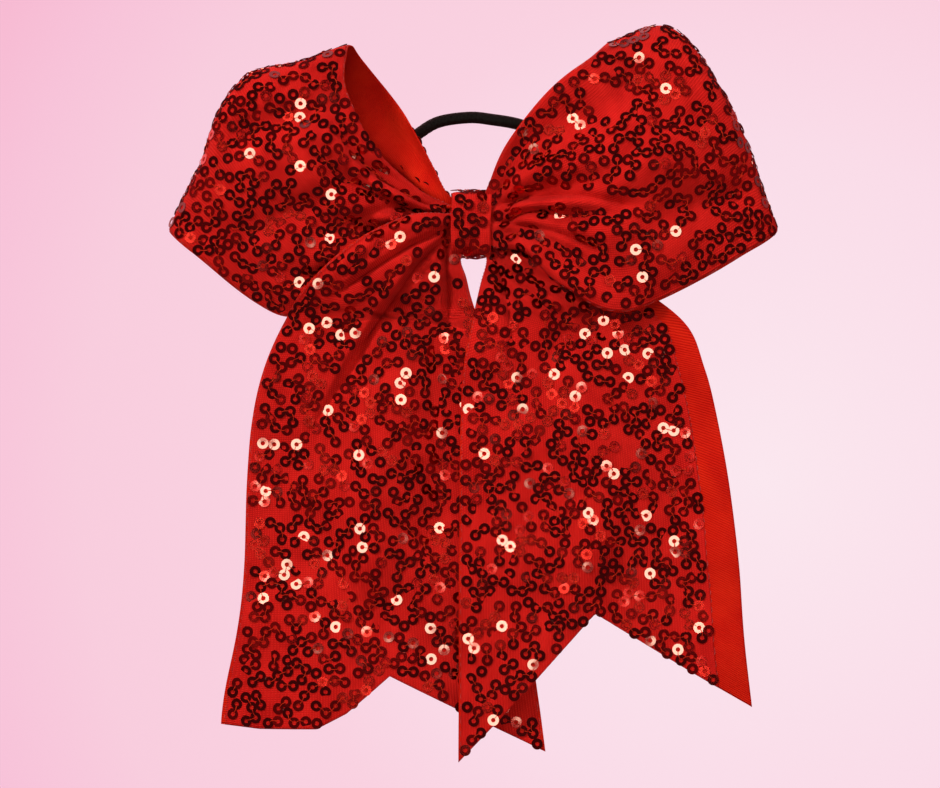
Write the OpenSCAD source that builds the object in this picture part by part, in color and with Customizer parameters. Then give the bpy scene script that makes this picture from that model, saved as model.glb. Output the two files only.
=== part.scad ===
// Cheer hair bow: a sequinned satin ribbon gathered at a knot, with two loops, two tails and a hair
// elastic. Millimetres, +Z up, the front of the bow faces -Y. The origin is the centre of the flat
// rear face of the knot, the face that lies against the hair.

/* [Ribbon] */
// Thickness of the satin ribbon
ribbon_t = 0.6; // [0.4:0.1:0.8]
// Thickness of the sequin mesh sewn onto the ribbon's outer side
mesh_t = 0.4; // [0.2:0.1:0.5]

/* [Knot] */
// Width of the band round the middle, left to right
band_w = 11.4; // [10:0.2:12]
// Height of the band, top to bottom
band_h = 17.4; // [17:0.2:19]
// Thickness of the band
band_t = 1.1; // [0.8:0.1:1.2]
// Outer radius of a sequin
sequin_r = 1.45; // [1.2:0.05:1.5]
// Radius of the hole in a sequin
sequin_hole_r = 0.6; // [0.4:0.05:0.8]

/* [Hair elastic] */
// Diameter of the braided elastic
elastic_d = 3.2; // [2.6:0.1:3.4]
// Diameter of the rubber core
core_d = 2; // [1.2:0.1:2]
// Angle that the ring leans back from upright
ring_lean = 43; // [40:1:55]

/* [Tails] */
// Height of the line where the tails start to swing, measured from the knot's centre
swing_z = -26; // [-27:0.5:-25.5]
// Depth of the ripples in the hanging tails
ripple = 0.9; // [0:0.1:0.9]

/* [Hidden] */
$fn = 48;

satin_red = [0.86, 0.11, 0.08];
sequin_red = [0.55, 0.03, 0.05];

// Section of the knot, front to back, with y = 0 at the middle layer of ribbon
band_front_y = -7;
band_back_y = 9;
overlap_t = 1;
knot_back_y = band_back_y + overlap_t;
band_corner_r = 3;
band_seam_h = 11;
gather_w = 13.2;
gather_front_y = -4.4;
gather_back_y = 2.2;
gather_h = 12.4;
tie_w = 2.5;
tie_t = 1.1;
tie_head = [4.6, 3.6, 3.4];
tie_head_z = 2.8;
elastic_y = 5.8;
sequin_t = 0.25;
sequin_step = 3.3;

// Half of the gap that lets a hanging tail turn on its swing line
swing_gap = 0.4;
left_swing_y = -4.5;
right_swing_y = -8.5;

// Each loop, as rows of five points across the ribbon from its lower selvage to its upper one.
// The rows run from the knot along the front layer, round the outer fold and back behind.
left_loop_rows = [
    [[-7.6, -2.6, -6], [-7.6, -3.2, -3], [-7.6, -3.2, 0], [-7.6, -3.2, 3], [-7.6, -2.8, 5.5]],
    [[-17, -2.6, -10], [-16, -4, -5], [-15.5, -5, 0], [-15, -5.6, 5], [-14.7, -5.4, 8.9]],
    [[-32, -2.5, -18], [-31, -5.5, -8], [-29, -8, 2], [-27, -10, 12], [-25.3, -9, 19.5]],
    [[-50, -3, -24.3], [-48, -8, -9], [-44, -12.5, 7], [-38, -13, 22], [-32.4, -10, 33.9]],
    [[-73, -3.5, -7.5], [-68.5, -8.5, 12], [-60.5, -11.5, 29.5], [-45, -10.5, 38.5], [-32.5, -6, 44]],
    [[-78.9, 0.5, -2.1], [-71.5, 1, 15.5], [-62.5, 1, 33.5], [-46, 0, 42.3], [-31.3, -1, 46.8]],
    [[-72.5, 4, -7], [-68, 8, 12], [-60, 9.5, 29], [-44, 8.5, 38], [-29, 3.5, 44]],
    [[-49, 5, -21], [-46, 9.5, -6], [-41, 11, 8], [-32, 10, 21], [-21, 7, 34]],
    [[-30, 3.5, -15], [-28, 6, -6], [-25, 7, 3], [-20, 7, 12], [-15.5, 5, 25.4]],
    [[-16, 1.5, -9], [-15.5, 2.8, -4], [-14.5, 3.3, 1], [-12.5, 3.3, 7], [-10.5, 2.5, 15.5]],
    [[-7.6, 0.8, -6], [-7.6, 1.4, -2.5], [-7.6, 1.6, 1], [-7.6, 1.4, 4.5], [-7.6, 0.8, 8.2]]];

right_loop_rows = [
    [[7.6, -5.2, -6], [7.6, -5.8, -3], [7.6, -5.8, 0], [7.6, -5.6, 4], [7.6, -5, 9]],
    [[14.5, -8.4, -8], [14.5, -9, -2], [14.2, -9.2, 4], [13.5, -8.5, 12], [11.5, -6.5, 23]],
    [[24.5, -12, -17], [26.5, -13.5, -6], [27, -14.5, 5], [25.5, -13.5, 18], [22, -9, 34.5]],
    [[42, -13, -23.2], [44, -15.5, -6], [43.5, -17, 11], [40, -15, 27], [30, -8, 42]],
    [[74, -6, -6.5], [70.5, -10, 13], [63.5, -12, 30.5], [51.5, -9.5, 46.5], [34.5, -5, 45.5]],
    [[80, 0, -1.5], [73.5, 0.5, 15], [66, 0.5, 33], [52.4, 0.5, 50.4], [35.5, 0, 46.5]],
    [[73, 4.5, -6.5], [69.5, 9, 13], [62.5, 11, 30], [51, 9, 46], [34.8, 4, 45.5]],
    [[44, 5.5, -19], [43, 10, -5], [40, 12, 9], [34, 11, 24], [25, 7, 36]],
    [[26, 4, -13], [25.5, 6.5, -4], [24, 7.5, 5], [20.5, 7, 15], [15, 5, 25]],
    [[14.5, 1.8, -8], [14.2, 3, -2.5], [13.5, 3.4, 3], [12, 3.2, 9], [9.5, 2.5, 15]],
    [[7.6, 0.8, -6], [7.6, 1.4, -2.5], [7.6, 1.6, 1], [7.6, 1.4, 4.5], [7.6, 0.8, 7.5]]];

// The top of each tail, from the knot down to the swing line. The last row is straight.
top_end_z = swing_z + swing_gap;
left_top_rows = [
    [[-7, -5.6, 2.4], [-7.1, -6, -1.5], [-7.2, -6, -5.5], [-6.6, -5.8, -9.7], [-2.7, -5.2, -9.9]],
    [[-17, -8.6, 1.8], [-17, -10, -5], [-15.5, -10, -11], [-11, -8.8, -14.5], [-1.4, -6, -14]],
    [[-31, -10.8, -5.5], [-29.5, -10.5, -12], [-25, -9.5, -17.5], [-16, -7.5, -19.5], [-0.3, -5.2, -18.5]],
    [[-43, -8.5, -16.5], [-38, -7.5, -20], [-29, -6.5, -22], [-17, -5.6, -22.8], [0.9, -4.7, -22.3]],
    [for (x = [-49, -38, -26, -13, 2.2]) [x, left_swing_y, top_end_z]]];

right_top_rows = [
    [[4.1, -3.4, -9.6], [6.8, -3.6, -9.6], [7.3, -3.6, -6.5], [7.3, -3.3, -3.5], [7.3, -3, -1]],
    [[2.6, -5.6, -15.5], [8, -6.4, -16.5], [14, -6.6, -15.5], [18.5, -6, -12], [21, -5, -7.5]],
    [[1.3, -7.6, -21], [11, -8.2, -21.5], [21.5, -8.8, -20.5], [31.5, -8.5, -18], [40, -7.5, -15]],
    [for (x = [0.3, 14, 28, 42, 55.5]) [x, right_swing_y, top_end_z]]];

// Selvages of the hanging tails as [z, x] pairs, and the cut end of each as [share of width, z] pairs
left_tail_left = [[-133, -60], [-110, -59.1], [-85, -59.2], [-65, -58.7], [-53, -57.6], [-40, -55],
                  [-33, -51.6], [-26, -49]];
left_tail_right = [[-138.4, 19.7], [-120, 16.8], [-95, 14], [-70, 10], [-45, 6], [-26, 2.2]];
left_tail_cut = [[0, -131.6], [0.12, -133], [0.25, -132.4], [0.35, -128.3], [0.5, -118.6],
                 [0.75, -128.5], [1, -138.4]];
right_tail_left = [[-140.8, -3.3], [-99, -3.2], [-60, -2.9], [-46, -2.6], [-36, -1.8], [-26, 0.3]];
right_tail_right = [[-126.3, 73.4], [-108, 72], [-85.5, 69.3], [-67, 67.1], [-56, 65.3], [-40, 61.3],
                    [-32, 59.2], [-26, 55.5]];
right_tail_cut = [[0, -140.8], [0.5, -101.9], [1, -126.3]];
// How far the curled corner of the left tail stands out to the left and back
curl_out = 6;
curl_back = 5;
curl_share = 0.14;

// The hair elastic's route in the plane of the ring, as distances across and up from the knot
ring_route = [[0.1, 0], [7.5, 0], [12.5, 1.5], [18, 6], [23, 13], [25.5, 21], [24.5, 29], [20, 35.5],
              [12.8, 39.5], [6, 41.3], [-0.5, 42.2], [-8.8, 40.4], [-14.4, 35.6], [-19, 30],
              [-21.5, 22], [-20.5, 13.5], [-16.5, 6], [-12, 1.5], [-7.5, 0], [-0.1, 0]];
ring_steps = 2;

// ---- Curves and sheets ----

// A point on the smooth curve through p, at position s counted in points
function past_end(p, i) = i < 0 ? 2 * p[0] - p[1] : i >= len(p) ? 2 * p[i - 1] - p[i - 2] : p[i];
function spline(p, s) =
    let (i = min(floor(s), len(p) - 2))
    let (t = s - i)
    let (a = past_end(p, i - 1))
    let (b = p[i])
    let (c = p[i + 1])
    let (d = past_end(p, i + 2))
    0.5 * (2 * b + (c - a) * t + (2 * a - 5 * b + 4 * c - d) * t * t + (3 * b - a - 3 * c + d) * t * t * t);

// A grid of points on the surface through rows
function surface_grid(rows, along, across) =
    [for (i = [0:along])
        let (row = [for (k = [0:len(rows[0]) - 1])
            spline([for (r = rows) r[k]], i * (len(rows) - 1) / along)])
        [for (j = [0:across]) spline(row, j * (len(row) - 1) / across)]];

function unit(v) = v / norm(v);
function grid_normal(g, i, j) =
    let (m = len(g) - 1)
    let (n = len(g[0]) - 1)
    let (down = g[min(i + 1, m)][j] - g[max(i - 1, 0)][j])
    let (side = g[i][min(j + 1, n)] - g[i][max(j - 1, 0)])
    unit(cross(side, down));

// The grid moved out along its normals by d
function shifted(g, d) =
    [for (i = [0:len(g) - 1]) [for (j = [0:len(g[0]) - 1]) g[i][j] + d * grid_normal(g, i, j)]];

function flat_list(g) = [for (row = g) for (p = row) p];

// A closed sheet between two offsets from the grid
module sheet(g, inner, outer) {
    m = len(g) - 1;
    n = len(g[0]) - 1;
    w = n + 1;
    size = (m + 1) * w;
    points = concat(flat_list(shifted(g, inner)), flat_list(shifted(g, outer)));
    cells = [for (i = [0:m - 1]) for (j = [0:n - 1]) i * w + j];
    back = [for (c = cells) each [[c, c + 1, c + w], [c + 1, c + w + 1, c + w]]];
    front = [for (f = back) [f[2] + size, f[1] + size, f[0] + size]];
    rim = concat([for (j = [0:n - 1]) j],
                 [for (i = [0:m - 1]) i * w + n],
                 [for (j = [n:-1:1]) m * w + j],
                 [for (i = [m:-1:1]) i * w]);
    wall = [for (k = [0:len(rim) - 1])
        let (a = rim[k])
        let (b = rim[(k + 1) % len(rim)])
        each [[b, a, a + size], [b, a + size, b + size]]];
    polyhedron(points, concat(back, front, wall), convexity = 10);
}

// Everything is drawn round the middle ribbon layer and moved so that the rear face is at y = 0
module in_frame() {
    translate([0, -knot_back_y, 0]) children();
}

module satin_sheet(g) {
    color(satin_red) in_frame() sheet(g, -ribbon_t / 2, ribbon_t / 2);
}

module sequin_sheet(g) {
    color(sequin_red) in_frame() sheet(g, ribbon_t / 2, ribbon_t / 2 + mesh_t);
}

// ---- Loops ----

loop_along = 24;
loop_across = 8;
left_loop_grid = surface_grid(left_loop_rows, loop_along, loop_across);
// The rows are turned end for end so that the sequins stay on the outside of this loop too
right_loop_grid = [for (row = surface_grid(right_loop_rows, loop_along, loop_across))
    [for (j = [loop_across:-1:0]) row[j]]];

// ---- Tails ----

top_along = 8;
tail_along = 12;
tail_across = 8;
left_top_grid = surface_grid(left_top_rows, top_along, tail_across);
right_top_grid = surface_grid(right_top_rows, top_along, tail_across);

function fade(t) = t * t * (3 - 2 * t);

// A hanging tail: x between the selvages, z down to the cut, y with ripples that grow from the swing line
function tail_grid(left, right, cut, y0, phase, curl) =
    [for (i = [0:tail_along]) [for (j = [0:tail_across])
        let (down = i / tail_along)
        let (v = j / tail_across)
        let (top = swing_z - swing_gap)
        let (z = top + down * (lookup(v, cut) - top))
        let (tip = curl * fade(down) * max(0, 1 - v / curl_share))
        let (x = lookup(z, left) * (1 - v) + lookup(z, right) * v - curl_out * tip)
        [x, y0 + ripple * fade(down) * sin(540 * v + phase) + curl_back * tip, z]]];
left_tail_grid = tail_grid(left_tail_left, left_tail_right, left_tail_cut, left_swing_y, 20, 1);
right_tail_grid = tail_grid(right_tail_left, right_tail_right, right_tail_cut, right_swing_y, 200, 0);

// ---- Knot ----

// A rounded rectangle in the y-z section of the knot, from y0 to y1
module section(y0, y1, h, r) {
    translate([y0 + r, -h / 2]) square([y1 - y0 - 2 * r, h]);
    translate([y0, -h / 2 + r]) square([y1 - y0, h - 2 * r]);
    for (y = [y0 + r, y1 - r], z = [-h / 2 + r, h / 2 - r]) translate([y, z]) circle(r);
}

// The section extruded along X over the width w
module across_bow(w) {
    rotate([90, 0, 90]) translate([0, 0, -w / 2]) linear_extrude(w) children();
}

module knot_band() {
    color(satin_red) in_frame() {
        across_bow(band_w) difference() {
            section(band_front_y, band_back_y, band_h, band_corner_r);
            section(band_front_y + band_t, band_back_y - band_t, band_h - 2 * band_t, band_corner_r - band_t);
        }
        translate([-band_w / 2, band_back_y - 0.1, -band_seam_h / 2])
            cube([band_w, overlap_t + 0.1, band_seam_h]);
    }
}

module knot_sequins() {
    color(sequin_red) in_frame()
        for (column = [-1:1], row = [-1.5:1.5])
            translate([column * sequin_step, band_front_y, row * sequin_step])
                rotate([90, 0, 0]) difference() {
                    cylinder(r = sequin_r, h = sequin_t);
                    translate([0, 0, -1]) cylinder(r = sequin_hole_r, h = sequin_t + 2);
                }
}

// The stack of pleats that the band covers
module gathered_ribbon() {
    color(satin_red) in_frame() across_bow(gather_w) difference() {
        section(gather_front_y, gather_back_y, gather_h, 2.2);
        for (z = [-3.4, 0.2, 3.6]) translate([gather_front_y, z]) circle(0.5);
        for (z = [-3, 2.8]) translate([gather_back_y, z]) circle(0.4);
    }
}

module zip_tie() {
    color("white") in_frame() {
        across_bow(tie_w) difference() {
            section(gather_front_y - tie_t, gather_back_y + tie_t, gather_h + 2 * tie_t, 2.2 + tie_t);
            section(gather_front_y, gather_back_y, gather_h, 2.2);
        }
        translate([-tie_head[0] / 2, gather_back_y + tie_t / 2, tie_head_z]) cube(tie_head);
    }
}

// Hot glue between the pleats and the front of the band, on each side of the tie
module glue_front() {
    depth = gather_front_y - (band_front_y + band_t);
    color("ivory") in_frame()
        for (side = [-1, 1]) translate([side * 3.3, gather_front_y, 0.2])
            rotate([90, 0, 0]) linear_extrude(depth) scale([0.55, 1]) circle(2.9);
}

// Hot glue between the pleats and the rear of the band, under the elastic
module glue_rear() {
    color("ivory") in_frame() difference() {
        translate([-4.6, gather_back_y, -6]) cube([9.2, band_back_y - band_t - gather_back_y, 3.6]);
        translate([-tie_w / 2, gather_back_y - 1, -10]) cube([tie_w, tie_t + 1, 20]);
        translate([-5, gather_back_y - 1, -7]) cube([10, 1.6, 2.6]);
    }
}

// ---- Loop and tail nodes ----

module left_loop_ribbon() satin_sheet(left_loop_grid);
module left_loop_sequin_mesh() sequin_sheet(left_loop_grid);
module right_loop_ribbon() satin_sheet(right_loop_grid);
module right_loop_sequin_mesh() sequin_sheet(right_loop_grid);
module left_tail_top_ribbon() satin_sheet(left_top_grid);
module left_tail_top_sequin_mesh() sequin_sheet(left_top_grid);
module left_tail_ribbon() satin_sheet(left_tail_grid);
module left_tail_sequin_mesh() sequin_sheet(left_tail_grid);
module right_tail_top_ribbon() satin_sheet(right_top_grid);
module right_tail_top_sequin_mesh() sequin_sheet(right_top_grid);
module right_tail_ribbon() satin_sheet(right_tail_grid);
module right_tail_sequin_mesh() sequin_sheet(right_tail_grid);

// ---- Hair elastic ----

ring_sides = 8;
ring_spans = (len(ring_route) - 1) * ring_steps;
ring_centres = [for (i = [0:ring_spans]) spline(ring_route, i / ring_steps)];

// Ring number i of the tube, a polygon of radius r square to the route
function tube_ring(i, r) =
    let (ahead = ring_centres[min(i + 1, ring_spans)])
    let (behind = ring_centres[max(i - 1, 0)])
    let (run = unit(ahead - behind))
    [for (k = [0:ring_sides - 1])
        let (turn = 360 * (k + 0.5) / ring_sides)
        let (out = r * cos(turn))
        [ring_centres[i][0] - run[1] * out, ring_centres[i][1] + run[0] * out, r * sin(turn)]];

function tube_skin(first, flip) =
    [for (i = [0:ring_spans - 1]) for (k = [0:ring_sides - 1])
        let (a = first + i * ring_sides + k)
        let (b = first + i * ring_sides + (k + 1) % ring_sides)
        each flip ? [[a, a + ring_sides, b], [b, a + ring_sides, b + ring_sides]]
                  : [[a, b, a + ring_sides], [b, b + ring_sides, a + ring_sides]]];

function tube_points(r) = [for (i = [0:ring_spans]) each tube_ring(i, r)];

// Turns the plane of the ring up and back, about the axis that the elastic runs along in the knot
module ring_plane() {
    in_frame() translate([0, elastic_y, 0]) rotate([90 - ring_lean, 0, 0]) children();
}

module elastic_core() {
    last = ring_spans * ring_sides;
    caps = [[for (k = [ring_sides - 1:-1:0]) k], [for (k = [0:ring_sides - 1]) last + k]];
    color("dimgray") ring_plane()
        polyhedron(tube_points(core_d / 2), concat(tube_skin(0, false), caps), convexity = 6);
}

module elastic_cover() {
    count = (ring_spans + 1) * ring_sides;
    last = ring_spans * ring_sides;
    ends = [for (k = [0:ring_sides - 1])
        let (n = (k + 1) % ring_sides)
        each [[n, k, k + count], [n, k + count, n + count],
              [last + k, last + n, last + n + count], [last + k, last + n + count, last + k + count]]];
    color("black") ring_plane()
        polyhedron(concat(tube_points(elastic_d / 2), tube_points(core_d / 2)),
                   concat(tube_skin(0, false), tube_skin(count, true), ends), convexity = 6);
}

// The crimped sleeve that joins the elastic's two ends inside the knot
module elastic_joint() {
    color("silver") in_frame() translate([-4, elastic_y, 0]) rotate([0, 90, 0]) difference() {
        cylinder(r = elastic_d / 2 + 0.35, h = 8);
        translate([0, 0, -1]) cylinder(r = elastic_d / 2, h = 10);
    }
}

knot_band();
knot_sequins();
zip_tie();
glue_front();
glue_rear();
gathered_ribbon();
left_loop_ribbon();
left_loop_sequin_mesh();
right_loop_ribbon();
right_loop_sequin_mesh();
left_tail_top_ribbon();
left_tail_top_sequin_mesh();
left_tail_ribbon();
left_tail_sequin_mesh();
right_tail_top_ribbon();
right_tail_top_sequin_mesh();
right_tail_ribbon();
right_tail_sequin_mesh();
elastic_cover();
elastic_core();
elastic_joint();
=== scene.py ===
"""The looks of the cheer hair bow: ribbon, sequin mesh, sequins on their threads, knot and elastic."""

import itertools
import math
import random

import bpy
import numpy as np
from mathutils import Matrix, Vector, noise


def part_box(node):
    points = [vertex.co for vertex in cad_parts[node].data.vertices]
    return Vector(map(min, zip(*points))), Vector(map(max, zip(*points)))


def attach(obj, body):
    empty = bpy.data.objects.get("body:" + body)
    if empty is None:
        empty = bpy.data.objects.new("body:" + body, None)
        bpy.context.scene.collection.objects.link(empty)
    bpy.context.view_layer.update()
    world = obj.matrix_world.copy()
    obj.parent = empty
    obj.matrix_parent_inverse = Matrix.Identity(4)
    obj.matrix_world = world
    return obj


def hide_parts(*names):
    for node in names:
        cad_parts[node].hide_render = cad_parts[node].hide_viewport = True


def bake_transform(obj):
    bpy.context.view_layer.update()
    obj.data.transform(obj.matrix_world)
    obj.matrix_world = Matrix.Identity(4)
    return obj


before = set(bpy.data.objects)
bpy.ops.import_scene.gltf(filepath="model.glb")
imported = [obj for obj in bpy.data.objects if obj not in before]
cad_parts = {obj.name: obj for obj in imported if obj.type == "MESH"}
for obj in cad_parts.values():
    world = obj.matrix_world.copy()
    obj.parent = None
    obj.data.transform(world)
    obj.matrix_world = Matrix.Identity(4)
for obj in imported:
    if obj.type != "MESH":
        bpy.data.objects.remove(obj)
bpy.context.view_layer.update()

MM = 0.001
SEED = 7
RIBBON_MM = 76.0

# The nets below are in millimetres from the centre of the knot, with y = 0 at the middle ribbon layer.
BAND_FRONT_TO_LAYER = 7.0
band_low, band_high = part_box("knot_band")
ORIGIN = np.array([
    (band_low.x + band_high.x) / 2,
    band_low.y + BAND_FRONT_TO_LAYER * MM,
    (band_low.z + band_high.z) / 2,
])
BAND_W = (band_high.x - band_low.x) / MM
BAND_H = (band_high.z - band_low.z) / MM

# ---------------- camera

CAMERA_DISTANCE = 0.9
FRAME_WIDTH = 0.2474
SENSOR_WIDTH = 36
CAMERA_AIM = ORIGIN + np.array([-0.3, 0.0, -44.7]) * MM


def add_camera():
    data = bpy.data.cameras.new("camera")
    data.sensor_width = SENSOR_WIDTH
    data.lens = data.sensor_width * CAMERA_DISTANCE / FRAME_WIDTH
    data.clip_start = 0.01
    camera = bpy.data.objects.new("camera", data)
    bpy.context.scene.collection.objects.link(camera)
    camera.location = (CAMERA_AIM[0], CAMERA_AIM[1] - CAMERA_DISTANCE, CAMERA_AIM[2])
    camera.rotation_euler = (math.radians(90), 0, 0)
    bpy.context.scene.camera = camera


add_camera()

# ---------------- small tools

CURVE_SAMPLES = 200
NEARLY_UPRIGHT = 0.9


def place(x, y, z):
    """A place in metres from millimetres about the knot's centre."""
    return tuple(ORIGIN + np.array([x, y, z]) * MM)


def spline(points, s):
    """Points on the smooth curve through points, at positions s counted in points."""
    p = np.asarray(points, float)
    last = len(p) - 1
    s = np.clip(np.asarray(s, float), 0, last)
    i = np.minimum(s.astype(int), last - 1)
    t = (s - i).reshape((-1,) + (1,) * (p.ndim - 1))
    padded = np.concatenate([2 * p[:1] - p[1:2], p, 2 * p[-1:] - p[-2:-1]])
    a, b, c, d = (padded[i + k] for k in range(4))
    return 0.5 * (2 * b + (c - a) * t + (2 * a - 5 * b + 4 * c - d) * t**2 + (3 * b - a - 3 * c + d) * t**3)


def smooth_table(pairs, z):
    """x at height z on the smooth curve through [z, x] pairs."""
    fine = spline(pairs, np.linspace(0, len(pairs) - 1, CURVE_SAMPLES))
    order = np.argsort(fine[:, 0])
    return np.interp(z, fine[order, 0], fine[order, 1])


def fade(t):
    """A smooth rise from 0 at t = 0 to 1 at t = 1."""
    t = np.clip(t, 0, 1)
    return t * t * (3 - 2 * t)


def new_object(name, vertices, faces, materials, smooth=True, material_index=None, flat_mm=None):
    """A mesh object in metres from vertices in millimetres about the knot's centre."""
    mesh = bpy.data.meshes.new(name)
    mesh.from_pydata((np.asarray(vertices) * MM + ORIGIN).tolist(), [], faces)
    for material in materials:
        mesh.materials.append(material)
    mesh.polygons.foreach_set("use_smooth", [smooth] * len(mesh.polygons))
    if material_index is not None:
        mesh.polygons.foreach_set("material_index", material_index)
    if flat_mm is not None:
        layer = mesh.uv_layers.new(name="flat_mm")
        corner = np.zeros(len(mesh.loops), np.int32)
        mesh.loops.foreach_get("vertex_index", corner)
        layer.data.foreach_set("uv", np.asarray(flat_mm, np.float32)[corner].ravel())
    mesh.update()
    obj = bpy.data.objects.new(name, mesh)
    bpy.context.scene.collection.objects.link(obj)
    return obj


def grid_normals(g):
    """Unit normals of a grid of points, on the side where the sequins are."""
    down = np.gradient(g, axis=0)
    side = np.gradient(g, axis=1)
    n = np.cross(side, down)
    return n / np.maximum(np.linalg.norm(n, axis=2, keepdims=True), 1e-9)


def closed_sheet(name, g, n, inner, outer, material, flat_mm):
    """A thin closed sheet between two offsets from a grid of points."""
    rows, columns = g.shape[:2]
    size = rows * columns
    index = np.arange(size).reshape(rows, columns)
    vertices = np.concatenate([(g + inner * n).reshape(-1, 3), (g + outer * n).reshape(-1, 3)])
    a, b = index[:-1, :-1].ravel(), index[:-1, 1:].ravel()
    c, d = index[1:, 1:].ravel(), index[1:, :-1].ravel()
    faces = np.concatenate([np.stack([a, b, c, d], 1), np.stack([d, c, b, a], 1) + size]).tolist()
    rim = np.concatenate([index[0, :-1], index[:-1, -1], index[-1, :0:-1], index[:0:-1, 0]])
    following = np.roll(rim, -1)
    faces += np.stack([following, rim, rim + size, following + size], 1).tolist()
    flat = np.concatenate([flat_mm.reshape(-1, 2)] * 2)
    return new_object(name, vertices, faces, [material], flat_mm=flat)


def tube(points, radius, sides=6, ripple=None):
    """Vertices and faces of a closed-ended tube along points; ripple(k, angle) adds to its radius."""
    p = np.asarray(points, float)
    run = np.gradient(p, axis=0)
    run /= np.maximum(np.linalg.norm(run, axis=1, keepdims=True), 1e-9)
    up = np.array([0.0, 0.0, 1.0]) if abs(run[0][2]) < NEARLY_UPRIGHT else np.array([0.0, 1.0, 0.0])
    vertices = []
    for k in range(len(p)):
        up = up - run[k] * (up @ run[k])
        up /= np.linalg.norm(up)
        side = np.cross(run[k], up)
        for j in range(sides):
            angle = 2 * math.pi * j / sides
            r = radius + (ripple(k, angle) if ripple else 0.0)
            vertices.append(p[k] + r * (math.cos(angle) * up + math.sin(angle) * side))
    faces = []
    for k in range(len(p) - 1):
        for j in range(sides):
            a, b = k * sides + j, k * sides + (j + 1) % sides
            faces.append([a, b, b + sides, a + sides])
    faces.append(list(range(sides - 1, -1, -1)))
    last = (len(p) - 1) * sides
    faces.append([last + j for j in range(sides)])
    return vertices, faces


def add_part(vertices, faces, part):
    """Adds the vertices and faces of one part to those of a mesh in the making."""
    base = len(vertices)
    vertices.extend(part[0])
    faces.extend([[base + k for k in face] for face in part[1]])


# ---------------- materials


def set_inputs(node, **values):
    for socket, value in values.items():
        node.inputs[socket.replace("_", " ")].default_value = value


def principled(name, base, roughness, **settings):
    material = bpy.data.materials.new(name)
    material.use_nodes = True
    shader = material.node_tree.nodes["Principled BSDF"]
    set_inputs(shader, Base_Color=(*base, 1), Roughness=roughness, **settings)
    return material, material.node_tree, shader


def link(tree, a, b):
    tree.links.new(a, b)


def flat_coordinates(tree):
    node = tree.nodes.new("ShaderNodeUVMap")
    node.uv_map = "flat_mm"
    return node.outputs["UV"]


def object_coordinates(tree):
    return tree.nodes.new("ShaderNodeTexCoord").outputs["Object"]


def bands(tree, vector, period_mm, direction):
    """Fine parallel ribs, one every period_mm."""
    wave = tree.nodes.new("ShaderNodeTexWave")
    wave.wave_type = "BANDS"
    wave.bands_direction = direction
    scale = 2 * math.pi / (20 * period_mm)
    set_inputs(wave, Scale=scale, Distortion=0.6, Detail=1.0, Detail_Scale=2.0)
    link(tree, vector, wave.inputs["Vector"])
    return wave.outputs["Fac"]


def noise_of(tree, vector, scale, detail):
    node = tree.nodes.new("ShaderNodeTexNoise")
    set_inputs(node, Scale=scale, Detail=detail)
    link(tree, vector, node.inputs["Vector"])
    return node.outputs["Fac"]


def ramp(tree, value, stops):
    node = tree.nodes.new("ShaderNodeValToRGB")
    elements = node.color_ramp.elements
    while len(elements) < len(stops):
        elements.new(0.5)
    for element, (position, colour) in zip(elements, stops):
        element.position = position
        element.color = (*colour, 1)
    link(tree, value, node.inputs["Fac"])
    return node.outputs["Color"]


def value_range(tree, value, low, high):
    node = tree.nodes.new("ShaderNodeMapRange")
    set_inputs(node, To_Min=low, To_Max=high)
    link(tree, value, node.inputs["Value"])
    return node.outputs["Result"]


def add_maths(tree, operation, a, b):
    node = tree.nodes.new("ShaderNodeMath")
    node.operation = operation
    for socket, value in zip(node.inputs, (a, b)):
        if isinstance(value, (int, float)):
            socket.default_value = value
        else:
            link(tree, value, socket)
    return node.outputs[0]


def mix_of(tree, a, a_share, b, b_share):
    first = add_maths(tree, "MULTIPLY", a, a_share)
    second = add_maths(tree, "MULTIPLY", b, b_share)
    return add_maths(tree, "ADD", first, second)


def bump(tree, shader, height, distance, strength):
    node = tree.nodes.new("ShaderNodeBump")
    set_inputs(node, Distance=distance, Strength=strength)
    link(tree, height, node.inputs["Height"])
    link(tree, node.outputs["Normal"], shader.inputs["Normal"])


def satin_material():
    """Bright red satin: fine crosswise ribs, a soft sheen and a slow change of shade."""
    material, tree, shader = principled("red_satin", (0.60, 0.011, 0.006), 0.42, Anisotropic=0.5)
    set_inputs(shader, Specular_IOR_Level=0.25, Specular_Tint=(1.0, 0.3, 0.2, 1))
    set_inputs(shader, Sheen_Weight=0.12, Sheen_Roughness=0.35, Sheen_Tint=(1.0, 0.08, 0.04, 1))
    flat = flat_coordinates(tree)
    ribs = bands(tree, flat, 0.55, "Y")
    threads = bands(tree, flat, 0.3, "X")
    slow = noise_of(tree, flat, 0.09, 4.0)
    tone = mix_of(tree, ribs, 0.25, slow, 0.75)
    colour = ramp(tree, tone, [
        (0.3, (0.50, 0.006, 0.004)),
        (0.5, (0.61, 0.010, 0.005)),
        (0.7, (0.72, 0.020, 0.007)),
    ])
    link(tree, colour, shader.inputs["Base Color"])
    link(tree, value_range(tree, slow, 0.34, 0.52), shader.inputs["Roughness"])
    weave = mix_of(tree, ribs, 1.0, threads, 0.35)
    bump(tree, shader, weave, 0.00012, 0.9)
    return material


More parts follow.
